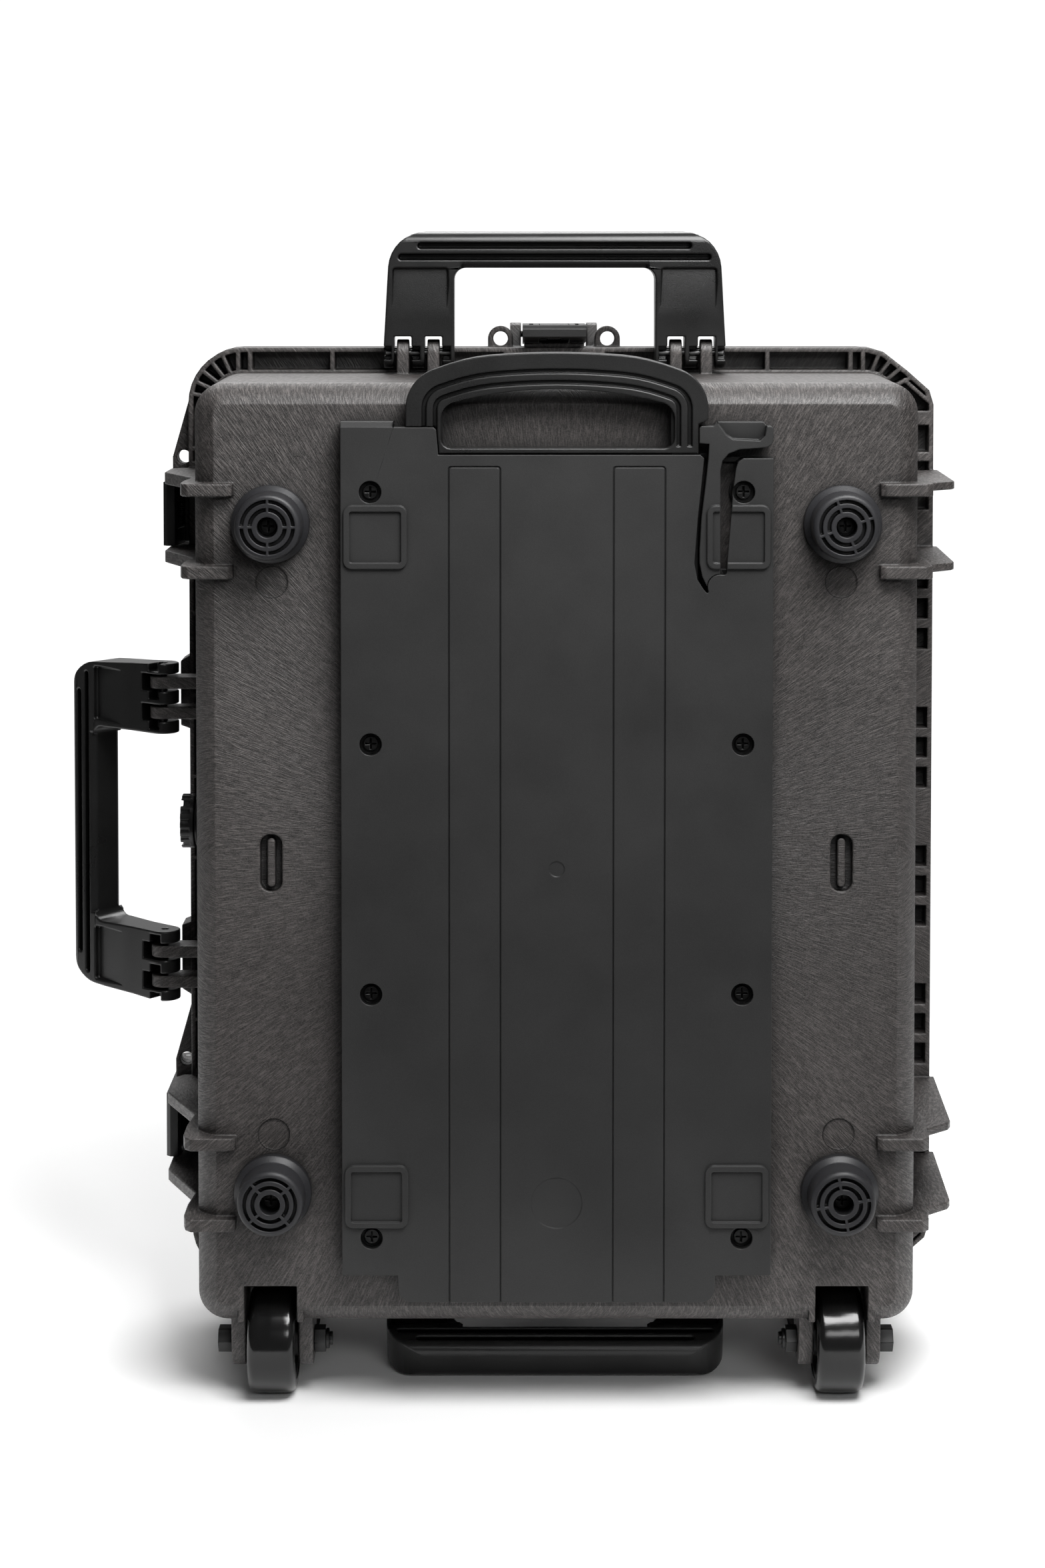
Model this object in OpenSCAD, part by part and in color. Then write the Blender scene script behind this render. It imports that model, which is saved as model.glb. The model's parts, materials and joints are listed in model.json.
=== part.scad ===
// Wheeled hard equipment case, standing upright on its wheels.
// Case frame: X = 0 on the centre plane with the hinge side at +X, Y = 0 on the flat base face
// with the lid at +Y, Z = 0 on the floor. in_part_frame() moves it to the part's own origin.

/* [Base shell] */
// Half of the outside width near the base face
body_half_w = 213.7; // [208:0.1:216]
// Half of the outside height near the base face
body_half_h = 280.5; // [275:0.1:284]
// Height of the middle of the body above the floor
body_mid_z = 329.3; // [325:0.1:332]
// Wall thickness of the moulded shells
wall = 4; // [3:0.1:5]
// Radius of the four long corners
corner_r = 18; // [14:1:24]
// Radius of the edge round the base face
face_r = 12; // [8:0.5:14]
// Draft of the side walls, in degrees
draft = 1; // [0:0.1:1.4]
// Depth from the base face to the parting line
base_depth = 152; // [148:1:156]

/* [Rim] */
// Depth at which the reinforcing rim starts
rim_start = 129; // [126:1:132]
// Front edge of the rim, on the latch side
rim_left = -231; // [-233:0.5:-229]
// Back edge of the rim, on the hinge side
rim_right = 239.6; // [238:0.1:241]
// Half of the rim's height
rim_half_h = 298; // [296:0.5:300]
// Corner radius of the rim
rim_r = 35; // [30:1:40]
// Thickness of the rim's outer lip and its ribs
rim_lip = 3; // [2:0.1:4]

/* [Lid] */
// Depth of the lid's outer face
lid_face = 215; // [205:1:225]
// Gap between the shells at the parting line
lid_gap = 0.3; // [0.2:0.05:0.5]

/* [Carry handles] */
// Distance from pivot to the outer edge of a handle
grip_reach = 75.5; // [70:0.5:80]
// Half of a handle's width at its pivot
grip_half_w = 106.5; // [100:0.5:108]
// Thickness of the grip
grip_t = 24; // [20:0.5:25]
// Pivot distance of the top and bottom handles from the middle of the body
pivot_off = 295.2; // [295:0.1:296]
// Tilt of the side handle past square, away from the base face
side_tilt = 40; // [0:1:60]
// Angle between the bottom handle and the wall it folds against
bottom_lift = 18; // [5:1:18]

/* [Wheels] */
// Wheel radius
wheel_r = 31.4; // [30:0.1:31.4]
// Wheel width
wheel_w = 28.6; // [26:0.2:29]
// Distance of each wheel's middle plane from the centre plane
wheel_x = 170; // [169:0.25:171]
// Depth of the axle from the base face
axle_y = 27; // [25:0.5:29]

/* [Pull handle] */
// Front of the cover and the pull grip, ahead of the base face
cover_front = -18; // [-20:0.5:-16]
// Half of the cover's width
cover_half_w = 126; // [122:0.5:128]
// Middle of each sliding bar
bar_x = 74.5; // [74:0.25:75]
// Width of each sliding bar
bar_w = 16; // [14:0.5:16]

/* [Rubber feet] */
// Height of a rubber foot
foot_h = 25; // [20:1:28]
// Radius of a foot at its base
foot_r = 23; // [20:0.5:24]

/* [Latches] */
// Width of a latch lever
latch_w = 40; // [36:0.5:40]
// Depth of the pivot of each latch
latch_pivot_y = 176; // [174:0.5:178]

/* [Hidden] */
$fn = 48;

// Colours as moulded
SHELL = "#2c2b2b";
SATIN = "#2f2f31";
BLACK = "#1b1b1c";
STEEL = "#8f8f8f";
DARK_STEEL = "#232323";

// Where the part's origin lies in the case frame
origin_x = -33;
origin_y = 95;

mid_z = body_mid_z;
corner_x = body_half_w - corner_r;
corner_z = body_half_h - corner_r;
rim_top = mid_z + rim_half_h;
rim_bottom = mid_z - rim_half_h;
lid_start = base_depth + lid_gap;

// Ribs that run over the base face and down both sides, at the latches
rib_z = [mid_z + 218.2, mid_z + 169.7, mid_z - 169.7, mid_z - 218.2];
rib_t = 7.5;
rib_h = 7;
rib_face_x = 190;

// Hinge
hinge_x = 234.6;
hinge_y = 153;
knuckle_r = 5;
hinge_pin_r = 2;
hinge_pitch = 88.5;
knuckle_len = 37;
lid_knuckle_len = hinge_pitch - knuckle_len - 1;
hinge_half = 167;

// Carry handle pivots: two lugs to an arm
lug_u = [75.5, 94.5];
lug_t = 7.5;
slot_w = 10.8;
arm_inner = 62.5;
pivot_y = 112;
side_pivot_x = -245.6;
side_pivot_y = 115;
handle_pin_r = 2;
run_gap = 0.05;

// Wheels
ear_t = 8.7;
ear_in = 154.3;
ear_out = 185.7;
bolt_r = 4;
sleeve_r = 6;
axle_z = wheel_r;

// Feet and screws
foot_x = 168;
foot_z = [mid_z + 198, mid_z - 199.6];
cover_screw_x = 108.7;
cover_screw_z = [mid_z + 218, mid_z + 70.4, mid_z - 76.9, mid_z - 221.6];
frame_x = 105.8;
frame_z = [mid_z + 191.7, mid_z - 196.8];

// Latches: their middles, in a frame whose Z is the height over the rim's edge
latch_z = [mid_z + 193.95, mid_z - 193.95];
latch_tip = 114;
latch_top = 14.5;
latch_hub_z = 7.5;
latch_pin_r = 2;
trigger_y = 152;
trigger_pin_r = 1.5;

// Cover and pull grip, as heights in the case frame
cover_top = 588.2;
cover_waist = 569;
cover_bottom = 69.4;
cover_shoulder = 85.5;
cover_t = 3;
grip_top = 628.5;
grip_low = 570;
release_x = 95;
release_z = 492;

// Valve
valve_y = 80;
valve_z = mid_z + 7;

module in_part_frame() translate([-origin_x, -origin_y, 0]) children();
// Extrusions along an axis, from one coordinate to another, of a shape drawn in the other two
module along_x(a, b) translate([a, 0, 0]) rotate([90, 0, 90]) linear_extrude(b - a) children();
module along_y(a, b) translate([0, b, 0]) rotate([90, 0, 0]) linear_extrude(b - a) children();
module along_z(a, b) translate([0, 0, a]) linear_extrude(b - a) children();
module both_sides() {
    children();
    mirror([1, 0, 0]) children();
}
module rod_x(a, b, y, z, r) translate([a, y, z]) rotate([0, 90, 0]) cylinder(h = b - a, r = r);
module rod_y(a, b, x, z, r) translate([x, a, z]) rotate([-90, 0, 0]) cylinder(h = b - a, r = r);
module rod_z(a, b, x, y, r) translate([x, y, a]) cylinder(h = b - a, r = r);
module block(x, y, z) translate([x[0], y[0], z[0]]) cube([x[1] - x[0], y[1] - y[0], z[1] - z[0]]);

// Points of an arc about c from angle a to angle b
function arc(c, r, a, b, n = 8) = [for (i = [0:n]) let (t = a + (b - a) * i / n) c + r * [cos(t), sin(t)]];
// Rounded rectangle from corner p to corner q
function round_rect(p, q, r, n = 8) = concat(
    arc([q[0] - r, q[1] - r], r, 0, 90, n), arc([p[0] + r, q[1] - r], r, 90, 180, n),
    arc([p[0] + r, p[1] + r], r, 180, 270, n), arc([q[0] - r, p[1] + r], r, 270, 360, n));

// ---------- Shells ----------
// Tub with a rounded face at y = inset and corners of radius corner_r - inset, open end at depth
module tub(inset, depth) {
    r = corner_r - inset;
    f = face_r - inset;
    profile = concat([[0, 0]], arc([r - 1.8737 * f, 1.8737 * f], 2.067 * f, -65, -25, 4),
        [[r + (depth - inset - f) * tan(draft), depth - inset], [0, depth - inset]]);
    translate([0, inset, mid_z]) hull() for (sx = [-1, 1], sz = [-1, 1])
        translate([sx * corner_x, 0, sz * corner_z]) rotate([-90, 0, 0])
            rotate_extrude($fn = 40) polygon(profile);
}

// Corner of the rim on the hinge side, i inside the edge, as points right of and above the case's middle
function hinge_corner(i) = [[rim_right - i, 262], [rim_right - 2.7 - i, 271 - 0.4 * i],
    [rim_right - 16.8 - 0.7 * i, 283.5 - 0.7 * i], [rim_right - 32 - 0.4 * i, 295.3 - i],
    [rim_right - 41 - i, 298 - i]];
function rim_points(i) = concat([for (c = hinge_corner(i)) [c[0], mid_z + c[1]]],
    arc([rim_left + rim_r, rim_top - rim_r], rim_r - i, 90, 180, 9),
    arc([rim_left + rim_r, rim_bottom + rim_r], rim_r - i, 180, 270, 9),
    [for (k = [4:-1:0]) [hinge_corner(i)[k][0], mid_z - hinge_corner(i)[k][1]]]);

// Ribs across the rim's channel, in X and Z
module rim_ribs() {
    for (x = [-199.5, -192, -140, -88, 82, 134.5, 187, 194.8])
        translate([x - rim_lip / 2, mid_z - 310]) square([rim_lip, 620]);
    for (z = [-234:52:234]) translate([-250, mid_z + z - rim_lip / 2]) square([240, rim_lip]);
    // Fans round the corners: middle, side and angles of each
    for (fan = [[rim_left + rim_r, -1, [10:14:66]], [192.5, 1, [26:14:68]]], s = [-1, 1], a = fan[2])
        translate([fan[0], mid_z + s * (rim_half_h - rim_r)]) rotate(atan2(s * sin(a), fan[1] * cos(a)))
            translate([8, -1.3]) square([40, 2.6]);
    for (s = [-1, 1]) {
        translate([229.4, mid_z + s * 270.2]) rotate(-41 * s) square([24, 2.6], center = true);
        translate([200, mid_z + s * 253.5 - 4.5]) square([60, 9]);
        translate([200, mid_z + s * 229 - 3]) square([60, 6]);
    }
}

module rim_channel() along_y(rim_start - 1, rim_start + 14) difference() {
    polygon(rim_points(rim_lip));
    polygon(round_rect([-217, mid_z - 284], [217, mid_z + 284], 20, 9));
    rim_ribs();
    hinge_blocks();
    for (z = latch_z) translate([-250, z - 32]) square([40, 64]);
    translate([-32, 0]) square([64, 700]);
}

// Solid stretches of the rim behind the hinge
module hinge_blocks() {
    for (k = [-2:2]) translate([200, mid_z + k * hinge_pitch - knuckle_len / 2]) square([60, knuckle_len]);
    for (k = [-2:1], s = [-1, 1])
        translate([200, mid_z + (k + 0.5) * hinge_pitch + s * 9.5 - 3]) square([60, 6]);
}

// One rib on the latch side: over the face edge, down the wall and out to a latch guard
module latch_rib_shape() polygon([[-rib_face_x, 1], [-rib_face_x, -5], [-rib_face_x - 3, -rib_h],
    [-216.5, -rib_h], [-220, -3.5], [-221.5, 3], [-221.5, 22], [-219.5, 44], [-221.5, 49], [-239, 86],
    [-241.5, 92], [-241.5, 124], [-236, rim_start + 2],
    [-212, rim_start + 2], [-205, 6]]);

// One rib on the hinge side, which flares into a guard plate for the hinge
module hinge_rib_shape() polygon([[rib_face_x, 1], [rib_face_x, -5], [rib_face_x + 3, -rib_h],
    [217, -rib_h], [221, -3], [222, 18], [237, 31], [239, 36], [242.5, rim_start + 2],
    [212, rim_start + 2], [205, 6]]);

module ribs() {
    for (z = rib_z) {
        along_z(z - rib_t / 2, z + rib_t / 2) latch_rib_shape();
        along_z(z - 2.4, z + 2.4) hinge_rib_shape();
        along_z(z - rib_t / 2, z + rib_t / 2) intersection() {
            hinge_rib_shape();
            translate([180, -10]) square([42, 60]);
        }
    }
}

// Lugs for one carry handle, drawn about its pivot, with the wall drop below it
module handle_lugs(drop) for (s = [-1, 1], u = lug_u) difference() {
    along_x(s * u - lug_t / 2, s * u + lug_t / 2) {
        circle(r = 8.5);
        translate([-8.5, -drop]) square([17, drop]);
    }
    rod_x(s * u - lug_t, s * u + lug_t, 0, 0, handle_pin_r);
}

// Places a carry handle's own frame (X along the pivot, Z away from it) on the case
module on_top() translate([0, pivot_y, mid_z + pivot_off]) children();
module on_bottom() translate([0, pivot_y, mid_z - pivot_off]) mirror([0, 0, 1]) children();
module on_side() translate([side_pivot_x, side_pivot_y, mid_z - 6]) rotate([0, -90, 0]) children();

module wheel_ears() both_sides() for (x = [ear_in - ear_t, ear_out]) difference() {
    intersection() {
        along_x(x, x + ear_t) {
            translate([axle_y, axle_z]) circle(r = 15);
            polygon([[axle_y - 15, axle_z], [axle_y + 15, axle_z], [axle_y + 24, 54], [axle_y - 17, 54]]);
        }
        along_y(axle_y - 20, axle_y + 30) polygon(round_rect([x, axle_z - 15], [x + ear_t, 60], 3.4, 4));
    }
    rod_x(x - 1, x + ear_t + 1, axle_y, axle_z, bolt_r);
}

// Feet behind the wheels, which the case stands on with them
module standing_feet() both_sides() along_y(rim_start + 2, rim_start + 19)
    polygon([[150, 1.5], [151.5, 0], [187.5, 0], [189, 1.5], [192, rim_bottom + 6], [147, rim_bottom + 6]]);

module base_knuckles() {
    for (k = [-1:1])
        base_knuckle(mid_z + k * hinge_pitch - knuckle_len / 2, mid_z + k * hinge_pitch + knuckle_len / 2);
    for (s = [-1, 1]) {
        end = mid_z + s * (hinge_half - 5);
        base_knuckle(end - 5, end + 5);
    }
}
module base_knuckle(a, b) difference() {
    union() {
        rod_z(a, b, hinge_x, hinge_y, knuckle_r);
        block([hinge_x - 6.5, rim_right], [rim_start + 14, hinge_y], [a, b]);
    }
    rod_z(a - 1, b + 1, hinge_x, hinge_y, hinge_pin_r);
}

// Clearance in the base's rim for one knuckle of the lid
module knuckle_pocket(k) {
    half = lid_knuckle_len / 2 + 0.5;
    block([hinge_x - 6.5, rim_right + 1], [hinge_y - knuckle_r - 0.8, hinge_y + 8],
        [mid_z + k * hinge_pitch - half, mid_z + k * hinge_pitch + half]);
}

// Tabs with padlock holes beside the latches, from depth a to b
module padlock_tabs(a, b) {
    along_y(a, b) difference() {
        union() {
            for (s = [-1, 1]) {
                translate([s * 34, rim_top + 5.2]) circle(r = 8);
                translate([s * 34 - 8, rim_top - 6]) square([16, 11.2]);
            }
            for (z = latch_z) polygon([[rim_left + 6, z + 84], [rim_left, z + 76],
                [rim_left - 12, z + 34], [rim_left - 12, z + 22], [rim_left + 6, z + 22]]);
        }
        for (s = [-1, 1]) translate([s * 34, rim_top + 5.2]) circle(r = 4.65);
        for (z = latch_z) translate([rim_left - 4.9, z + 34]) circle(r = 4.3);
    }
}

module face_pockets() {
    both_sides() difference() {
        along_y(-1, 6.5) polygon(round_rect([162, mid_z - 20], [175, mid_z + 14], 6));
        along_y(1, 7) polygon(round_rect([166.2, mid_z - 17.5], [170.8, mid_z + 11.5], 2.2, 4));
    }
    both_sides() for (z = [mid_z + 163.5, mid_z - 165.3]) rod_y(-1, 0.35, 167.5, z, 9.2);
}

module wheel_notches() both_sides() block([ear_in, ear_out], [-9, 66], [20, 72.5]);

module screw_bosses() {
    for (s = [-1, 1], z = cover_screw_z) rod_y(wall - 1, 13, s * cover_screw_x, z, 6);
    for (s = [-1, 1], z = foot_z) rod_y(wall - 1, 13, s * foot_x, z, 7);
}
module screw_holes() {
    for (s = [-1, 1], z = cover_screw_z) rod_y(-1, 9, s * cover_screw_x, z, 2);
    for (s = [-1, 1], z = foot_z) rod_y(-1, 9, s * foot_x, z, 2.5);
}

module base_shell() color(SHELL) in_part_frame() difference() {
    union() {
        difference() {
            union() {
                tub(0, rim_start + 15);
                along_y(rim_start, base_depth) polygon(rim_points(0));
                along_y(rim_start + 3, base_depth)
                    for (s = [-1, 1]) polygon([[rim_left + 5, mid_z - 6 + s * 60], [rim_left - 6, mid_z - 6 + s * 64],
                        [rim_left - 6, mid_z - 6 + s * 105], [rim_left + 5, mid_z - 6 + s * 112]]);
                ribs();
                on_top() handle_lugs(16);
                on_bottom() handle_lugs(16);
                on_side() handle_lugs(34);
                wheel_ears();
                standing_feet();
                padlock_tabs(base_depth - 6, base_depth);
                at_each_latch() latch_catch();
                rod_x(-218, -210, valve_y, valve_z, 20);
            }
            tub(wall, base_depth + 1);
        }
        both_sides() block([ear_in - wall, ear_out + wall], [2, 70], [50, 76.5]);
        screw_bosses();
        both_sides() along_y(3, 9) polygon(round_rect([158.5, mid_z - 23.5], [178.5, mid_z + 17.5], 8));
        base_knuckles();
    }
    rim_channel();
    for (k = [-1.5:1.5]) knuckle_pocket(k);
    rod_z(mid_z - hinge_half - 1, mid_z + hinge_half + 1, hinge_x, hinge_y, hinge_pin_r);
    wheel_notches();
    face_pockets();
    screw_holes();
    rod_x(-222, -200, valve_y, valve_z, 8);
}

module lid_knuckle(k) {
    a = mid_z + k * hinge_pitch - lid_knuckle_len / 2;
    b = a + lid_knuckle_len;
    difference() {
        union() {
            rod_z(a, b, hinge_x, hinge_y, knuckle_r);
            block([hinge_x - 12, hinge_x], [lid_start, hinge_y + knuckle_r], [a, b]);
        }
        rod_z(a - 1, b + 1, hinge_x, hinge_y, hinge_pin_r + run_gap);
    }
}

// Pair of lugs that hold a latch's pin, in the latch's own frame
module latch_lugs() for (s = [-1, 1]) difference() {
    along_x(s > 0 ? 21 : -28, s > 0 ? 28 : -21)
        polygon(concat([[latch_pivot_y + 13, -18], [156, -18], [156, -2]],
            arc([latch_pivot_y, latch_hub_z], 7.4, 150, -20, 8)));
    rod_x(-40, 40, latch_pivot_y, latch_hub_z, latch_pin_r);
}

// Latch frames: X along the latch's width, Z out from the rim's edge
module at_upper() translate([rim_left, 0, latch_z[0]]) rotate([0, -90, 0]) children();
module at_lower() translate([rim_left, 0, latch_z[1]]) rotate([0, -90, 0]) children();
module at_top() translate([0, 0, rim_top]) children();
module at_bottom() translate([0, 0, rim_bottom]) mirror([0, 0, 1]) children();
module at_each_latch() {
    at_upper() children();
    at_lower() children();
    at_top() children();
    at_bottom() children();
}

// Ridge on the base's rim that a latch's lever closes over
module latch_catch() block([-19, 19], [rim_start + 3, rim_start + 6], [-2, 3]);

module lid_shell() color(SHELL) in_part_frame() union() {
    difference() {
        union() {
            translate([0, lid_face, 0]) mirror([0, 1, 0]) tub(0, lid_face - lid_start);
            along_y(lid_start, lid_start + 11)
                polygon(round_rect([rim_left, rim_bottom], [hinge_x - 8, rim_top], 33, 9));
            at_each_latch() latch_lugs();
            padlock_tabs(lid_start, lid_start + 6);
        }
        translate([0, lid_face, 0]) mirror([0, 1, 0]) tub(wall, lid_face - lid_start + 1);
        // Shallow panels between the lid's broad ribs, and a blank label recess
        for (s = [-1, 1]) along_y(lid_face - 1.5, lid_face + 1)
            polygon(round_rect([s * 140 - 38, mid_z - 230], [s * 140 + 38, mid_z + 230], 12));
        for (s = [-1, 1]) along_y(lid_face - 1.5, lid_face + 1)
            polygon(round_rect([-80, mid_z + s * 150 - 80], [80, mid_z + s * 150 + 80], 12));
        along_y(lid_face - 1.2, lid_face + 1) polygon(round_rect([-62, mid_z - 34], [62, mid_z + 34], 6));
        gasket_ring(7, lid_start - 1, lid_start + 3.2);
    }
    for (k = [-1.5:1.5]) lid_knuckle(k);
}

module gasket_ring(w, a, b) along_y(a, b) difference() {
    polygon(round_rect([-222.5, mid_z - 291.5], [222.5, mid_z + 291.5], 26, 10));
    polygon(round_rect([-222.5 + w, mid_z - 291.5 + w], [222.5 - w, mid_z + 291.5 - w], 26 - w, 10));
}

module lid_gasket() color(BLACK) in_part_frame() gasket_ring(7, base_depth + 0.1, lid_start + 3.2);

module hinge_pins() color(STEEL) in_part_frame() {
    rod_z(mid_z + 1, mid_z + hinge_half, hinge_x, hinge_y, hinge_pin_r);
    rod_z(mid_z - hinge_half, mid_z - 1, hinge_x, hinge_y, hinge_pin_r);
}

// ---------- Carry handles ----------
// Handle outline, X along the pivot and Y away from it
function handle_outline() = concat([[-grip_half_w, -9.5], [-grip_half_w, 2]],
    arc([-grip_half_w + 26.5, grip_reach - 23.5], 23.5, 176, 90, 8),
    arc([grip_half_w - 26.5, grip_reach - 23.5], 23.5, 90, 4, 8),
    [[grip_half_w, 2], [grip_half_w, -9.5]]);

module carry_handle() difference() {
    intersection() {
        along_y(-grip_t / 2, grip_t / 2) difference() {
            polygon(handle_outline());
            polygon(concat([[arm_inner, -12]], arc([arm_inner - 7, 46], 7, 0, 90, 6),
                arc([7 - arm_inner, 46], 7, 90, 180, 6), [[-arm_inner, -12]]));
        }
        // Side view: round at the pivot, slimmer in the arms than in the grip
        along_x(-grip_half_w - 1, grip_half_w + 1) {
            circle(r = 9.5);
            polygon(concat([[9.5, 0], [9.5, 20], [grip_t / 2, 44]],
                arc([grip_t / 2 - 7, grip_reach - 7], 7, 0, 90, 6),
                arc([7 - grip_t / 2, grip_reach - 7], 7, 90, 180, 6),
                [[-grip_t / 2, 44], [-9.8, 20], [-9.5, 0]]));
        }
    }
    for (s = [-1, 1]) along_x(-58, 58)
        polygon([[s * (grip_t / 2 + 0.1), 52.9], [s * (grip_t / 2 + 0.1), 56.4], [s * (grip_t / 2 - 3.5), 52.9]]);
    for (g = [[85, 66.8], [97, 59.8]]) along_y(-grip_t / 2 - 1, -grip_t / 2 + 8)
        polygon(round_rect([-g[0], g[1] - 1.85], [g[0], g[1] + 1.85], 1.8, 5));
    for (s = [-1, 1]) {
        translate([s * 83.4, -grip_t / 2 + 0.7, 35.7]) rotate([-5, 0, 0])
            along_y(-4, 1.4) polygon(round_rect([-17.2, -17.2], [17.2, 17.2], 2));
        for (u = lug_u) block([s * u - slot_w / 2, s * u + slot_w / 2], [-20, 20], [-12, 10.4]);
        // Windows in the front of the knuckles, where the pin shows
        for (u = [67.8, 86.8, 104.5]) block([s * u - 3, s * u + 3], [-20, -1], [-4.2, 4.2]);
    }
    rod_x(-120, 120, 0, 0, handle_pin_r + run_gap);
}

module handle_pins() both_sides() rod_x(63.5, 105.5, 0, 0, handle_pin_r);

module top_carry_handle() color(BLACK) in_part_frame() on_top() carry_handle();
module bottom_carry_handle() color(BLACK) in_part_frame() on_bottom() rotate([90 - bottom_lift, 0, 0]) carry_handle();
module side_carry_handle() color(BLACK) in_part_frame() on_side() rotate([-side_tilt, 0, 0]) carry_handle();
module carry_handle_pins() color(STEEL) in_part_frame() {
    on_top() handle_pins();
    on_bottom() handle_pins();
    on_side() handle_pins();
}

// ---------- Latches, in the latch's own frame ----------
module latch_lever() difference() {
    along_x(-latch_w / 2, latch_w / 2) polygon(concat([[latch_tip, 7], [latch_tip + 6, 5.5], [140, 3]],
        arc([latch_pivot_y, latch_hub_z], 6.5, -110, 70, 8), [[168, latch_top], [latch_tip + 2.5, latch_top],
        [latch_tip, 12]]));
    block([-9.5, 9.5], [119, 160.5], [-5, 20]);
    rod_x(-40, 40, latch_pivot_y, latch_hub_z, latch_pin_r + run_gap);
    rod_x(-15, 15, trigger_y, latch_hub_z, trigger_pin_r);
    for (s = [-1, 1]) block([s * 14.5 - 1.2, s * 14.5 + 1.2], [118, 166], [latch_top - 1.2, 20]);
}
module latch_trigger() difference() {
    union() {
        along_x(-9, 9) polygon([[119.8, 11.5], [119.8, 13.2], [121, latch_top], [159, latch_top], [159, 11.2]]);
        for (s = [-1, 1]) along_x(s > 0 ? 4.7 : -9, s > 0 ? 9 : -4.7) {
            translate([trigger_y, latch_hub_z]) circle(r = 3.3);
            translate([trigger_y - 3.3, latch_hub_z]) square([6.6, 5]);
        }
    }
    rod_x(-20, 20, trigger_y, latch_hub_z, trigger_pin_r + run_gap);
    for (i = [0:4]) block([-6, 6], [124 + i * 3, 125.2 + i * 3], [latch_top - 0.8, 20]);
}
module trigger_pin() rod_x(-14.5, 14.5, trigger_y, latch_hub_z, trigger_pin_r);
// Close-wound coil on the trigger's pin
module latch_spring() translate([-4, trigger_y, latch_hub_z]) rotate([0, 90, 0]) rotate_extrude()
    polygon(concat([[trigger_pin_r + run_gap, 0]], [for (i = [0:6]) each arc([2.3, 0.57 + i * 1.143], 0.55, -80, 80, 4)],
        [[trigger_pin_r + run_gap, 8]]));
module latch_pin() rod_x(-28, 28, latch_pivot_y, latch_hub_z, latch_pin_r);

module upper_latch_lever() color(BLACK) in_part_frame() at_upper() latch_lever();
module upper_latch_trigger() color(SATIN) in_part_frame() at_upper() latch_trigger();
module upper_latch_spring() color(STEEL) in_part_frame() at_upper() latch_spring();
module upper_latch_trigger_pin() color(STEEL) in_part_frame() at_upper() trigger_pin();
module lower_latch_lever() color(BLACK) in_part_frame() at_lower() latch_lever();
module lower_latch_trigger() color(SATIN) in_part_frame() at_lower() latch_trigger();
module lower_latch_spring() color(STEEL) in_part_frame() at_lower() latch_spring();
module lower_latch_trigger_pin() color(STEEL) in_part_frame() at_lower() trigger_pin();
module top_latch_lever() color(BLACK) in_part_frame() at_top() latch_lever();
module top_latch_trigger() color(SATIN) in_part_frame() at_top() latch_trigger();
module top_latch_spring() color(STEEL) in_part_frame() at_top() latch_spring();
module top_latch_trigger_pin() color(STEEL) in_part_frame() at_top() trigger_pin();
module bottom_latch_lever() color(BLACK) in_part_frame() at_bottom() latch_lever();
module bottom_latch_trigger() color(SATIN) in_part_frame() at_bottom() latch_trigger();
module bottom_latch_spring() color(STEEL) in_part_frame() at_bottom() latch_spring();
module bottom_latch_trigger_pin() color(STEEL) in_part_frame() at_bottom() trigger_pin();
module latch_pins() color(STEEL) in_part_frame() at_each_latch() latch_pin();

// ---------- Pull handle ----------
// Cover outline in X and Z, moved in by inset
function cover_outline(i) = concat(
    [[-cover_half_w + i, cover_shoulder + i], [-93.4 + i, cover_shoulder + i]],
    arc([-85 + i, cover_bottom + 8 + i], 8, 180, 270, 6),
    arc([85 - i, cover_bottom + 8 + i], 8, 270, 360, 6),
    [[93.4 - i, cover_shoulder + i], [cover_half_w - i, cover_shoulder + i], [cover_half_w - i, 567 - i],
    [90, 567 - i], [88, cover_waist - i], [-69 - i, cover_waist - i], [-70.2 - i, 583.5 - i], [-71.7 - i, 585 - i],
    [-95.1 - i, 585 - i], [-95.1 - i, cover_top - i], [-cover_half_w + i, cover_top - i]]);

// Release lever in X and Z: an arm and a T-shaped head with a hook, ending in an arc about its pivot
module release_shape() polygon(concat([[83, 505.9], [83, 513.9], [84.1, 532.9], [86.4, 551.9], [88, 567],
    [88.4, 575.3], [82.8, 575.7], [82.8, 584.6], [84, 585.8], [91, 585.8], [93.5, 588], [120.5, 588], [122.5, 585.8],
    [124.6, 585.8], [125.9, 584.4], [125.9, 577.3], [125, 575], [121.9, 573.3], [106.1, 572.1], [100, 569.8],
    [96.3, 565.6], [95.1, 560], [95.2, 502]], arc([release_x, release_z], 7.5, 88, 180, 8), [[84.6, 498]]));

// The slots and the wedge-shaped gap around the release lever
module release_gap() polygon(concat([[80.1, 505.9], [82.1, 532.9], [84.1, 551.9], [85.6, 567], [80, 572], [80, 600],
    [130, 600], [130, 567], [108.5, 567], [105.5, 565], [104.2, 561.4], [102.7, 550.3], [99.2, 506.7]],
    arc([97.1, 500.6], 1.8, 0, -60, 3), arc([release_x, release_z], 7.2, 75, 204, 9),
    [[87.6, 488.2], [85.6, 490.3], [81.8, 496.4]]));

module square_frame(s, z) difference() {
    polygon(round_rect([s * frame_x - 18.5, z - 18.5], [s * frame_x + 18.5, z + 18.5], 5));
    polygon(round_rect([s * frame_x - 15, z - 15], [s * frame_x + 15, z + 15], 1.5));
}

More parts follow.
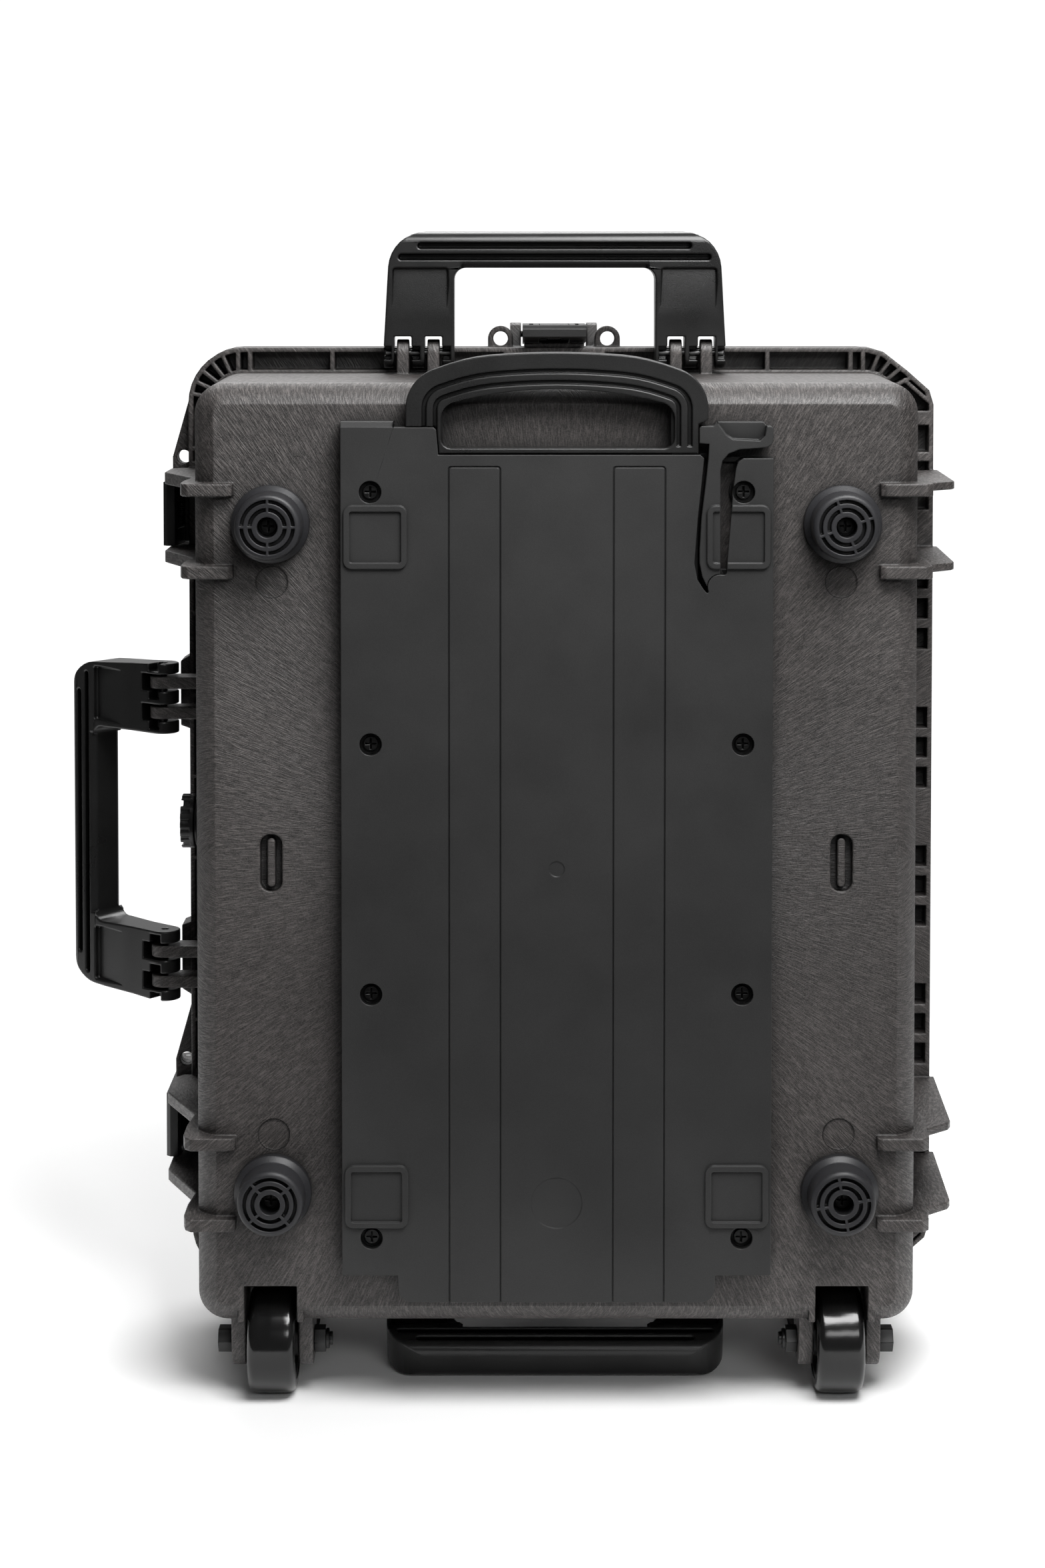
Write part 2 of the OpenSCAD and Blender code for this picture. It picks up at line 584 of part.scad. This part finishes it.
module handle_cover() color(SATIN) in_part_frame() difference() {
    union() {
        difference() {
            along_y(cover_front, 0) polygon(cover_outline(0));
            along_y(cover_front + cover_t, 1) polygon(cover_outline(cover_t));
        }
        // Channel walls that guide the sliding bars
        for (s = [-1, 1], x = [bar_x - bar_w / 2 - 3.2, bar_x + bar_w / 2 + 0.2])
            block(s > 0 ? [x, x + 3] : [-x - 3, -x], [cover_front + 1, 0], [88, s > 0 && x > bar_x ? 480 : 566]);
        // Web behind the release lever, which holds its pin
        block([85, 104], [-4, 0], [474, 501]);
        for (s = [-1, 1], z = cover_screw_z) rod_y(cover_front + 1, 0, s * cover_screw_x, z, 7.5);
        // Raised square frames
        for (s = [-1, 1], z = frame_z) along_y(cover_front - 1.5, cover_front + 1) square_frame(s, z);
    }
    // Openings at the top, where the bars slide out
    block([bar_x - bar_w / 2 - 0.2, bar_x + bar_w / 2 + 0.2], [cover_front + 3, 1], [550, 600]);
    block([-88.4, -66.2], [cover_front + 3, 1], [566, 600]);
    along_x(-127, -95.2) polygon([[cover_front - 1, 584], [cover_front - 1, 589.2], [cover_front + 4.2, 589.2]]);
    along_y(cover_front - 2, -4) release_gap();
    along_y(cover_front + 3.1, -4) intersection() {
        translate([release_x, release_z]) circle(r = 9);
        square([200, 600]);
    }
    // Two long raised strips, each outlined by a fine groove
    for (s = [-1, 1]) along_y(cover_front - 1, cover_front + 0.7) difference() {
        polygon(round_rect([s * 48 - 15.4, 60], [s * 48 + 15.4, 562.4], 2));
        polygon(round_rect([s * 48 - 14.6, 59], [s * 48 + 14.6, 561.6], 1.5));
    }
    for (s = [-1, 1], z = cover_screw_z) {
        rod_y(cover_front - 1, cover_front + 6, s * cover_screw_x, z, 6.5);
        rod_y(cover_front, 1, s * cover_screw_x, z, 2.4);
    }
    rod_y(cover_front - 1, cover_front + 0.4, 0, 326.4, 4.5);
    rod_y(cover_front - 1, cover_front + 0.3, 0, 128.6, 15);
    rod_y(cover_front + 3, 1, release_x, release_z, 2);
}

// Pan-head screw along +Y with its head's top at depth a and its point at b
module screw(x, z, a, b, shank, head) {
    difference() {
        union() {
            rod_y(a, a + 3, x, z, head);
            rod_y(a, b, x, z, shank);
        }
        for (w = [[3.2, 0.55], [0.55, 3.2]]) block([x - w[0], x + w[0]], [a - 1, a + 1.6], [z - w[1], z + w[1]]);
    }
}
module cover_screws() color(DARK_STEEL) in_part_frame() for (s = [-1, 1], z = cover_screw_z)
    screw(s * cover_screw_x, z, cover_front + 3, 8, 2, 4.3);

// Top edge of the pull grip's outline, i inside its outermost edge
function grip_arch(i) = concat(
    arc([-88 + 24, 596], 24 - i, 180, 110, 8),
    [for (x = [-62:7.75:62]) [x, grip_top - x * x / 920 - pow(max(0, abs(x) - 38), 2) / 260
        - i * (1 + pow(x / 260, 2))]],
    arc([88 - 24, 596], 24 - i, 70, 0, 8));

module pull_grip() color(BLACK) in_part_frame() difference() {
    union() {
        along_y(cover_front, -1) difference() {
            polygon(concat([[-66, grip_low], [-88, grip_low]], grip_arch(0),
                [[88, 589.5], [82.3, 587], [82.3, grip_low]]));
            polygon(concat(arc([-61.5, 578.7], 6, 180, 270, 4), arc([62.5, 578.7], 6, 270, 360, 4),
                arc([58.5, 590], 10, 0, 70, 4), [for (x = [52:-13:-52]) [x, 607.2 - x * x / 500]],
                arc([-57.5, 590], 10, 110, 180, 4)));
        }
    }
    // Concentric grooves in the front
    for (i = [[9.4, 12], [16, 18.4]]) along_y(cover_front - 1, cover_front + 2.5) intersection() {
        difference() {
            polygon(concat([[-88 + i[0], 560]], grip_arch(i[0]), [[88 - i[0], 560]]));
            polygon(concat([[-88 + i[1], 560]], grip_arch(i[1]), [[88 - i[1], 560]]));
        }
        translate([-100, 574]) square([200, 80]);
    }
    // The left leg runs under the cover
    along_y(cover_front - 1, cover_front + 3.3) polygon([[-68.4, 560], [-68.5, 569], [-69.7, 583.8], [-71.3, 585.5],
        [-96, 585.5], [-96, 560]]);
    for (s = [-1, 1]) bar_box(s, grip_low - 1, 596);
}

module bar_box(s, a, b) block([s * bar_x - bar_w / 2, s * bar_x + bar_w / 2], [-14, -3], [a, b]);

module pull_bars() color(BLACK) in_part_frame() for (s = [-1, 1]) difference() {
    bar_box(s, 92, 596);
    block([s * bar_x - 4, s * bar_x + 4], [-15, -12.5], [110, 540]);
}

module release_lever() color(SATIN) in_part_frame() difference() {
    union() {
        along_y(cover_front, -5) release_shape();
        along_y(cover_front + 3.4, -5) polygon(concat([[95.2, 503], [84.6, 503], [84.6, 500]],
            arc([release_x, release_z], 5.8, 170, 380, 12)));
        along_y(cover_front - 1.5, cover_front + 1) intersection() {
            square_frame(1, frame_z[0]);
            release_shape();
        }
    }
    along_y(cover_front - 1, cover_front + 6) polygon([[93.5, 589], [93.9, 586.9], [98.5, 580.6], [102.2, 578.1],
        [118, 577.3], [121, 580], [121.9, 585.2], [121.9, 589]]);
    rod_y(-30, 5, release_x, release_z, 2 + run_gap);
}
module release_pin() color(DARK_STEEL) in_part_frame() rod_y(cover_front + 3, 0, release_x, release_z, 2);

// ---------- Feet ----------
module foot(turn) rotate([90, 0, 0]) difference() {
    rotate_extrude() polygon(concat([[0, 0], [foot_r, 0], [foot_r, 5], [19.8, 8]],
        arc([foot_r - 6.5, foot_h - 3], 3, 10, 90, 4), [[0, foot_h]]));
    for (ring = [[14, 16], [9.1, 11.3]]) translate([0, 0, foot_h - 4]) difference() {
        cylinder(h = 5, r = ring[1]);
        translate([0, 0, -1]) cylinder(h = 7, r = ring[0]);
        for (a = [0:90:270]) rotate(a + turn) translate([0, -0.8, -1]) cube([20, 1.6, 7]);
    }
    translate([0, 0, 12]) cylinder(h = 20, r = 6);
    translate([0, 0, -1]) cylinder(h = 40, r = 2.5);
}
module rubber_feet() color(BLACK) in_part_frame() {
    translate([-foot_x, 0, foot_z[0]]) foot(0);
    translate([foot_x, 0, foot_z[0]]) foot(20);
    translate([-foot_x, 0, foot_z[1]]) foot(42);
    translate([foot_x, 0, foot_z[1]]) foot(10);
}
module foot_screws() color(DARK_STEEL) in_part_frame() for (s = [-1, 1], z = foot_z)
    screw(s * foot_x, z, -15, 8, 2.5, 4.6);

// ---------- Wheels ----------
module wheel_at(x) translate([x, axle_y, axle_z]) rotate([0, 90, 0]) children();
module hub() rotate_extrude() polygon([[sleeve_r + run_gap, -15.2], [10, -15.2], [10, -6], [19, -5], [22, -13.5],
    [23.5, -13.5], [23.5, 13.5], [22, 13.5], [19, 5], [10, 6], [10, 15.2], [sleeve_r + run_gap, 15.2]]);
module tyre() {
    half = wheel_w / 2;
    rotate_extrude($fn = 96) polygon(concat([[23.5, -half]], arc([wheel_r - 5.2, -half + 5], 5, -90, -8, 6),
        [[wheel_r, -0.6], [wheel_r, 0.6]], arc([wheel_r - 5.2, half - 5], 5, 8, 90, 6), [[23.5, half]]));
}
module left_wheel_hub() color(BLACK) in_part_frame() wheel_at(-wheel_x) hub();
module left_wheel_tyre() color(BLACK) in_part_frame() wheel_at(-wheel_x) tyre();
module right_wheel_hub() color(BLACK) in_part_frame() wheel_at(wheel_x) hub();
module right_wheel_tyre() color(BLACK) in_part_frame() wheel_at(wheel_x) tyre();

module axle_sleeves() color(STEEL) in_part_frame() both_sides() difference() {
    rod_x(ear_in, ear_out, axle_y, axle_z, sleeve_r);
    rod_x(ear_in - 1, ear_out + 1, axle_y, axle_z, bolt_r);
}
module axle_bolts() color(DARK_STEEL) in_part_frame() both_sides() {
    rod_x(ear_in - ear_t - 11, ear_out + ear_t, axle_y, axle_z, bolt_r);
    translate([ear_out + ear_t, axle_y, axle_z]) rotate([0, 90, 0]) rotate(30) cylinder(h = 9, r = 8.1, $fn = 6);
}
module axle_nuts() color(DARK_STEEL) in_part_frame() both_sides() difference() {
    union() {
        translate([ear_in - ear_t - 7, axle_y, axle_z]) rotate([0, 90, 0]) rotate(30) cylinder(h = 7, r = 8.1, $fn = 6);
        rod_x(ear_in - ear_t - 9, ear_in - ear_t, axle_y, axle_z, 6);
    }
    rod_x(ear_in - ear_t - 12, ear_in, axle_y, axle_z, bolt_r);
}

// ---------- Pressure valve ----------
module valve_body() color(BLACK) in_part_frame() difference() {
    union() {
        rod_x(-224, -196, valve_y, valve_z, 8);
        rod_x(-221.5, -220, valve_y, valve_z, 15);
    }
    rod_x(-230, -190, valve_y, valve_z, 3);
}
module valve_seal() color(BLACK) in_part_frame() difference() {
    rod_x(-220, -218, valve_y, valve_z, 13);
    rod_x(-222, -210, valve_y, valve_z, 8);
}
module valve_nut() color(BLACK) in_part_frame() difference() {
    translate([-210.6, valve_y, valve_z]) rotate([0, 90, 0]) cylinder(h = 6, r = 13, $fn = 6);
    rod_x(-212, -190, valve_y, valve_z, 8);
}
module valve_knob() color(BLACK) in_part_frame() difference() {
    rod_x(-230, -221.8, valve_y, valve_z, 16.5);
    rod_x(-224.5, -221, valve_y, valve_z, 8 + run_gap);
    for (i = [0:17]) translate([-224, valve_y, valve_z]) rotate([i * 20, 0, 0]) rod_x(-8, -0.5, 0, 17.3, 1.6);
    block([-231, -228.5], [valve_y - 12, valve_y + 12], [valve_z + 2.5, valve_z + 14]);
    block([-231, -228.5], [valve_y - 12, valve_y + 12], [valve_z - 14, valve_z - 2.5]);
}

base_shell();
lid_shell();
lid_gasket();
hinge_pins();
handle_cover();
cover_screws();
rubber_feet();
foot_screws();
axle_bolts();
axle_nuts();
axle_sleeves();
left_wheel_hub();
left_wheel_tyre();
right_wheel_hub();
right_wheel_tyre();
top_carry_handle();
side_carry_handle();
bottom_carry_handle();
carry_handle_pins();
upper_latch_lever();
upper_latch_trigger();
upper_latch_spring();
upper_latch_trigger_pin();
lower_latch_lever();
lower_latch_trigger();
lower_latch_spring();
lower_latch_trigger_pin();
top_latch_lever();
top_latch_trigger();
top_latch_spring();
top_latch_trigger_pin();
bottom_latch_lever();
bottom_latch_trigger();
bottom_latch_spring();
bottom_latch_trigger_pin();
latch_pins();
pull_grip();
pull_bars();
release_lever();
release_pin();
valve_body();
valve_knob();
valve_nut();
valve_seal();
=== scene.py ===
import json
import math

import bpy
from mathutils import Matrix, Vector


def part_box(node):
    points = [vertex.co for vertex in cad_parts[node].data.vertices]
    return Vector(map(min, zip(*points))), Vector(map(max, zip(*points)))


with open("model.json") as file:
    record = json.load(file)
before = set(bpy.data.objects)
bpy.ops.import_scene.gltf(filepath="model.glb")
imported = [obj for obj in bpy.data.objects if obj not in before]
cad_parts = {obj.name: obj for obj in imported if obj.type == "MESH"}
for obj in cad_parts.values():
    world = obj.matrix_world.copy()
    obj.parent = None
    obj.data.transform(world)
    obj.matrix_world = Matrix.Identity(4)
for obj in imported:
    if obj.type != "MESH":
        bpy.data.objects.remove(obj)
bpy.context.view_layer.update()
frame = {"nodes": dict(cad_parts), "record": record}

# A wheeled hard equipment case, standing on its wheels, seen from its base side.
# Lengths are metres, in the frame of the CAD model.

MM = 0.001
# Inputs of a Map Range node, in the order in which this script gives them
RANGE = ("From Min", "From Max", "To Min", "To Max")
# Middle of the case body, in X and Z, and the Y of its base face
MIDDLE = (0.033, 0.329)
BASE_FACE = -0.095
nodes = frame["nodes"]
# Half of the way through the closed case, from base face to lid face
HALF_DEPTH = (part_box("lid_shell")[1][1] - BASE_FACE) / 2


# ---------- Camera, light and floor ----------
# Strength of the surroundings: as light from the front and from behind, and as the camera sees them
FRONT_STRENGTH, BACK_STRENGTH, SEEN_STRENGTH = 0.06, 0.5, 1.1


def add_camera():
    camera_data = bpy.data.cameras.new("camera")
    camera = bpy.data.objects.new("camera", camera_data)
    bpy.context.scene.collection.objects.link(camera)
    camera_data.sensor_width = 36
    camera_data.lens = 66.61
    camera_data.shift_y = -0.2492
    camera_data.clip_end = 30
    camera.location = (0.013, -1.795, 0.6783)
    camera.rotation_euler = (math.radians(90 - 2.5), 0, 0)
    bpy.context.scene.camera = camera


def add_area(name, place, target, size, power):
    data = bpy.data.lights.new(name, "AREA")
    data.shape = "RECTANGLE"
    data.size, data.size_y = size
    data.energy = power
    lamp = bpy.data.objects.new(name, data)
    bpy.context.scene.collection.objects.link(lamp)
    lamp.location = place
    lamp.visible_camera = False
    direction = Vector(target) - Vector(place)
    lamp.rotation_euler = direction.to_track_quat("-Z", "Y").to_euler()


def add_studio():
    """White surroundings that give little light from the front, and four soft lights."""
    world = bpy.data.worlds.new("studio")
    bpy.context.scene.world = world
    world.use_nodes = True
    tree = world.node_tree
    direction = tree.nodes.new("ShaderNodeTexCoord")
    parts = tree.nodes.new("ShaderNodeSeparateXYZ")
    tree.links.new(direction.outputs["Generated"], parts.inputs[0])
    behind = tree.nodes.new("ShaderNodeMapRange")
    tree.links.new(parts.outputs["Y"], behind.inputs["Value"])
    for key, value in zip(RANGE, (0.5, 0.9, FRONT_STRENGTH, BACK_STRENGTH)):
        behind.inputs[key].default_value = value
    seen = tree.nodes.new("ShaderNodeLightPath")
    strength = tree.nodes.new("ShaderNodeMix")
    tree.links.new(seen.outputs["Is Camera Ray"], strength.inputs[0])
    tree.links.new(behind.outputs[0], strength.inputs[2])
    strength.inputs[3].default_value = SEEN_STRENGTH
    tree.links.new(strength.outputs[0], tree.nodes["Background"].inputs["Strength"])
    tree.nodes["Background"].inputs["Color"].default_value = (1, 1, 1, 1)
    middle = (0, 0, 0.4)
    add_area("key", (0.36, -0.80, 1.55), middle, (0.9, 0.7), 33)
    add_area("front", (0.75, -2.6, 1.5), (0.033, 0, 0.4), (1.4, 0.5), 13)
    add_area("right_strip", (1.7, -1.1, 0.9), middle, (0.5, 1.8), 0.6)
    add_area("behind", (0, 1.5, 2.3), (0, 0.4, 0), (2.6, 1.2), 72)


def add_floor():
    mesh = bpy.data.meshes.new("floor")
    half_width, front, back = 1.3, -0.34, 0.8
    corners = [(-half_width, front, 0), (half_width, front, 0), (half_width, back, 0), (-half_width, back, 0)]
    mesh.from_pydata(corners, [], [(0, 1, 2, 3)])
    floor = bpy.data.objects.new("floor", mesh)
    bpy.context.scene.collection.objects.link(floor)
    pale = bpy.data.materials.new("floor_pale")
    pale.use_nodes = True
    shader = pale.node_tree.nodes["Principled BSDF"]
    shader.inputs["Base Color"].default_value = (0.97, 0.97, 0.97, 1)
    shader.inputs["Roughness"].default_value = 0.9
    shader.inputs["Specular IOR Level"].default_value = 0.0
    floor.data.materials.append(pale)


# ---------- Materials ----------
class Tree:
    """Short names for making and joining a material's nodes."""

    def __init__(self, name):
        self.material = bpy.data.materials.new(name)
        self.material.use_nodes = True
        self.nodes = self.material.node_tree.nodes
        self.links = self.material.node_tree.links
        self.shader = self.nodes["Principled BSDF"]

    def add(self, kind, **values):
        node = self.nodes.new("ShaderNode" + kind)
        for key, value in values.items():
            setattr(node, key, value)
        return node

    def set(self, socket, value):
        if isinstance(value, bpy.types.NodeSocket):
            self.links.new(value, socket)
        else:
            socket.default_value = value

    def math(self, operation, a, b=0.0, clamp=False):
        node = self.add("Math", operation=operation, use_clamp=clamp)
        self.set(node.inputs[0], a)
        self.set(node.inputs[1], b)
        return node.outputs[0]

    def noise(self, vector, scale, detail=2.0, rough=0.5):
        node = self.add("TexNoise")
        self.links.new(vector, node.inputs["Vector"])
        node.inputs["Scale"].default_value = scale
        node.inputs["Detail"].default_value = detail
        node.inputs["Roughness"].default_value = rough
        return node.outputs["Fac"]

    def ramp(self, value, low, high, a=0.0, b=1.0):
        """value's stretch from low to high, mapped to a..b and held there."""
        node = self.add("MapRange", clamp=True)
        self.set(node.inputs["Value"], value)
        for key, number in zip(RANGE, (low, high, a, b)):
            node.inputs[key].default_value = number
        return node.outputs[0]

    def soft_edges(self, radius):
        """Normals rounded over the edges."""
        node = self.add("Bevel", samples=4)
        node.inputs["Radius"].default_value = radius
        return node.outputs[0]

    def bump(self, height, distance, strength=1.0, normal=None):
        node = self.add("Bump")
        node.inputs["Strength"].default_value = strength
        node.inputs["Distance"].default_value = distance
        self.links.new(height, node.inputs["Height"])
        if normal is not None:
            self.links.new(normal, node.inputs["Normal"])
        return node.outputs[0]

    def wrapped(self):
        """Object coordinates laid flat about the case's middle, and the plain ones.

        Laid flat, the walls of each half unfold outward from its face.
        """
        place = self.add("TexCoord").outputs["Object"]
        parts = self.add("SeparateXYZ")
        self.links.new(place, parts.inputs[0])
        x, y, z = parts.outputs
        depth = self.math("PINGPONG", self.math("SUBTRACT", y, BASE_FACE), HALF_DEPTH)
        joined = self.add("CombineXYZ")
        for socket, along, middle in zip(joined.inputs, (x, z), MIDDLE):
            offset = self.math("SUBTRACT", along, middle)
            outward = self.math("MULTIPLY", depth, self.math("SIGN", offset))
            self.links.new(self.math("ADD", offset, outward), socket)
        return joined.outputs[0], place

    def blend(self, kind, factor, a, b):
        """Colours a and b put together by a Mix node, whose colour sockets have no names of their own."""
        node = self.add("Mix", data_type="RGBA", blend_type=kind)
        for index, value in ((0, factor), (6, a), (7, b)):
            self.set(node.inputs[index], value)
        return node.outputs[2]

    def paint(self, shade, dark, light, shade_reach=0.012):
        """Base colour from dark to light by shade, with painted shade: darker where the surface lies deep in
        a gap, as ambient occlusion finds it.
        """
        # Painted shade: the base colour is darkened in gaps and recesses, where shade would fall
        gap_occlusion = self.add("AmbientOcclusion", samples=6)
        gap_occlusion.inputs["Distance"].default_value = shade_reach
        painted_gap_shade = self.ramp(gap_occlusion.outputs["AO"], 0.35, 0.92, 0.15, 1.0)
        colour = self.blend("MULTIPLY", 1.0, self.blend("MIX", shade, dark, light), painted_gap_shade)
        self.links.new(colour, self.shader.inputs["Base Color"])

    def streaks(self, wrapped, angle, across, along, shift=0.0):
        """Noise drawn out along a direction, angle degrees up from level; across and along are in 1/m."""
        turned = self.add("Mapping")
        turned.inputs["Rotation"].default_value = (0, 0, math.radians(-angle))
        turned.inputs["Location"].default_value = (shift, shift, 0)
        self.links.new(wrapped, turned.inputs["Vector"])
        drawn = self.add("Mapping")
        drawn.inputs["Scale"].default_value = (along, across, 1)
        self.links.new(turned.outputs[0], drawn.inputs["Vector"])
        return self.noise(drawn.outputs[0], scale=1.0, detail=3.0, rough=0.6)

    def rays(self, wrapped, across, along):
        """Noise drawn out along lines from the middle, and the distance from it.

        across is in 1/radian, along in 1/m.
        """
        distance = self.add("VectorMath", operation="LENGTH")
        self.links.new(wrapped, distance.inputs[0])
        aim = self.add("VectorMath", operation="NORMALIZE")
        self.links.new(wrapped, aim.inputs[0])
        spread = self.add("VectorMath", operation="SCALE")
        self.links.new(aim.outputs[0], spread.inputs[0])
        spread.inputs["Scale"].default_value = across
        run = self.add("CombineXYZ")
        self.links.new(self.math("MULTIPLY", distance.outputs["Value"], along), run.inputs[2])
        place = self.add("VectorMath", operation="ADD")
        self.links.new(spread.outputs[0], place.inputs[0])
        self.links.new(run.outputs[0], place.inputs[1])
        return self.noise(place.outputs[0], scale=1.0, detail=3.0, rough=0.6), distance.outputs["Value"]


def grey(value, blue=1.0):
    return (value, value, value * blue, 1)


def shell_material():
    """Grained polypropylene with fine marks that run out from the middle, as the plastic flowed."""
    t = Tree("textured_shell")
    wrapped, place = t.wrapped()
    flow, distance = t.rays(wrapped, across=380, along=140)
    grain = t.noise(place, scale=1500, rough=0.6)
    cloud = t.noise(place, scale=9, detail=3.0, rough=0.55)
    # The marks fade out towards the middle, and are fainter in some patches
    outer = t.ramp(distance, 0.03, 0.12)
    marked = t.math("MULTIPLY", outer, t.ramp(t.noise(place, scale=5, detail=1.0), 0.35, 0.65, 0.65, 1.0))
    bright = t.math("MULTIPLY", t.ramp(flow, 0.45, 0.70), marked)
    fine = t.ramp(grain, 0.3, 0.7, -0.5, 0.5)
    shade = t.math("ADD", t.math("MULTIPLY", bright, 0.62), t.math("MULTIPLY", fine, 0.40))
    shade = t.math("ADD", shade, t.ramp(cloud, 0.3, 0.7, 0.12, 0.22), clamp=True)
    t.paint(shade, (0.012, 0.0108, 0.0104, 1), (0.150, 0.136, 0.131, 1))
    rough = t.math("ADD", t.ramp(flow, 0.3, 0.7, 0.52, 0.38), t.ramp(cloud, 0.3, 0.7, -0.03, 0.03))
    t.links.new(rough, t.shader.inputs["Roughness"])
    grained = t.bump(grain, distance=0.0001, strength=0.5, normal=t.soft_edges(0.0016))
    relief = t.bump(t.math("MULTIPLY", flow, outer), distance=0.0004, strength=0.9, normal=grained)
    t.links.new(relief, t.shader.inputs["Normal"])
    return t.material


def plastic(name, dark, light, rough, grain_scale, grain_depth,
            scuffs=0.2, edge=0.0008, gloss=0.5, blue=1.0):
    """Moulded plastic or rubber: a fine grain, faint clouds and a few light scuffs."""
    t = Tree(name)
    wrapped, place = t.wrapped()
    grain = t.noise(place, grain_scale, rough=0.6)
    cloud = t.noise(place, scale=14, detail=3.0, rough=0.6)
    scuff = t.ramp(t.streaks(wrapped, angle=25, across=420, along=22, shift=1.7), 0.66, 0.80)
    worn = t.math("MULTIPLY", scuff, t.ramp(t.noise(place, scale=23), 0.5, 0.62, 0.0, scuffs))
    shade = t.math("ADD", t.ramp(cloud, 0.3, 0.7, 0.25, 0.6), t.ramp(grain, 0.3, 0.7, -0.2, 0.2))
    shade = t.math("ADD", shade, worn, clamp=True)
    t.paint(shade, grey(dark, blue), grey(light, blue))
    uneven = t.math("ADD", t.ramp(cloud, 0.3, 0.7, rough - 0.05, rough + 0.05), t.math("MULTIPLY", worn, 0.4))
    t.links.new(uneven, t.shader.inputs["Roughness"])
    grained = t.bump(grain, grain_depth, strength=0.6, normal=t.soft_edges(edge))
    t.links.new(grained, t.shader.inputs["Normal"])
    t.shader.inputs["Specular IOR Level"].default_value = gloss
    return t.material


def metal(name, light, rough, turned=False):
    """Steel with fine marks, along Z from drawing or across it from turning."""
    t = Tree(name)
    wrapped, place = t.wrapped()
    marks = t.streaks(wrapped, angle=0 if turned else 90, across=2400, along=60)
    cloud = t.noise(place, scale=60, detail=3.0)
    shade = t.math("ADD", t.ramp(marks, 0.3, 0.7, 0.2, 0.6), t.ramp(cloud, 0.3, 0.7, 0.0, 0.4))
    t.paint(shade, grey(0.6 * light), grey(light), shade_reach=0.006)
    t.shader.inputs["Metallic"].default_value = 1.0
    t.links.new(t.ramp(marks, 0.3, 0.7, rough, rough + 0.15), t.shader.inputs["Roughness"])
    t.links.new(t.bump(marks, distance=0.00003, strength=0.4), t.shader.inputs["Normal"])
    return t.material


# Depth of the moulded grain
FINE, COARSE = 0.04 * MM, 0.08 * MM
materials = {
    "textured_shell": shell_material(),
    "satin_cover": plastic("satin_cover", 0.023, 0.040, 0.42, 1900, FINE, gloss=0.3),
    "black_moulding": plastic("black_moulding", 0.009, 0.022, 0.30, 1500, COARSE, edge=0.001, gloss=0.45),
    "latch_black": plastic("latch_black", 0.010, 0.026, 0.34, 1700, FINE, gloss=0.4),
    "foot_rubber": plastic("foot_rubber", 0.014, 0.032, 0.42, 1400, COARSE, edge=0.001, gloss=0.4, blue=1.1),
    "seal_rubber": plastic("seal_rubber", 0.012, 0.025, 0.6, 1400, COARSE),
    "wheel_tyre": plastic("wheel_tyre", 0.004, 0.010, 0.14, 900, FINE / 2, scuffs=0.4),
    "wheel_hub": plastic("wheel_hub", 0.010, 0.024, 0.4, 1500, COARSE),
    "steel": metal("steel", 0.34, 0.28),
    "dark_steel": metal("dark_steel", 0.06, 0.3, turned=True),
}


# ---------- CAD nodes: rounded edges and finish ----------
# Edge radius of each node, in mm; the others get the default
EDGE = {
    "base_shell": 0.6, "lid_shell": 0.6, "pull_grip": 0.5, "release_lever": 0.4, "handle_cover": 0.25,
    "top_carry_handle": 0.8, "side_carry_handle": 0.8, "bottom_carry_handle": 0.8,
    "rubber_feet": 0.3, "valve_knob": 0.4, "axle_bolts": 0.4, "axle_nuts": 0.4,
}
DEFAULT_EDGE = 0.2
# Shading breaks at edges sharper than SHARP degrees, and those sharper than BEVELLED are rounded
SHARP = 18
BEVELLED = 33


def crease_group():
    """Node group of a modifier that shades faces smooth, apart from their sharp edges."""
    group = bpy.data.node_groups.new("creases", "GeometryNodeTree")
    group.interface.new_socket("Geometry", in_out="INPUT", socket_type="NodeSocketGeometry")
    group.interface.new_socket("Geometry", in_out="OUTPUT", socket_type="NodeSocketGeometry")
    start = group.nodes.new("NodeGroupInput")
    end = group.nodes.new("NodeGroupOutput")
    angle = group.nodes.new("GeometryNodeInputMeshEdgeAngle")
    gentle = group.nodes.new("FunctionNodeCompare")
    gentle.data_type = "FLOAT"
    gentle.operation = "LESS_THAN"
    gentle.inputs[1].default_value = math.radians(SHARP)
    faces = group.nodes.new("GeometryNodeSetShadeSmooth")
    faces.domain = "FACE"
    edges = group.nodes.new("GeometryNodeSetShadeSmooth")
    edges.domain = "EDGE"
    group.links.new(start.outputs[0], faces.inputs["Geometry"])
    group.links.new(faces.outputs[0], edges.inputs["Geometry"])
    group.links.new(angle.outputs["Unsigned Angle"], gentle.inputs[0])
    group.links.new(gentle.outputs[0], edges.inputs["Shade Smooth"])
    group.links.new(edges.outputs[0], end.inputs[0])
    return group


creases = crease_group()


def finish_node(name, obj, slot):
    obj.data.materials.clear()
    obj.data.materials.append(materials[slot])
    weld = obj.modifiers.new("weld", "WELD")
    weld.merge_threshold = 0.01 * MM
    crease = obj.modifiers.new("crease", "NODES")
    crease.node_group = creases
    edge = obj.modifiers.new("edge", "BEVEL")
    edge.width = EDGE.get(name, DEFAULT_EDGE) * MM
    edge.segments = 2
    edge.limit_method = "ANGLE"
    edge.angle_limit = math.radians(BEVELLED)
    edge.use_clamp_overlap = False
    edge.loop_slide = False
    smooth = obj.modifiers.new("smooth", "WEIGHTED_NORMAL")
    smooth.keep_sharp = True
    smooth.weight = 80


slot_of = {row["node"]: row["material_slot"] for row in frame["record"]["subparts"]}
for name, obj in nodes.items():
    finish_node(name, obj, slot_of[name])

add_camera()
add_studio()
add_floor()
bpy.context.scene.view_settings.view_transform = "Standard"
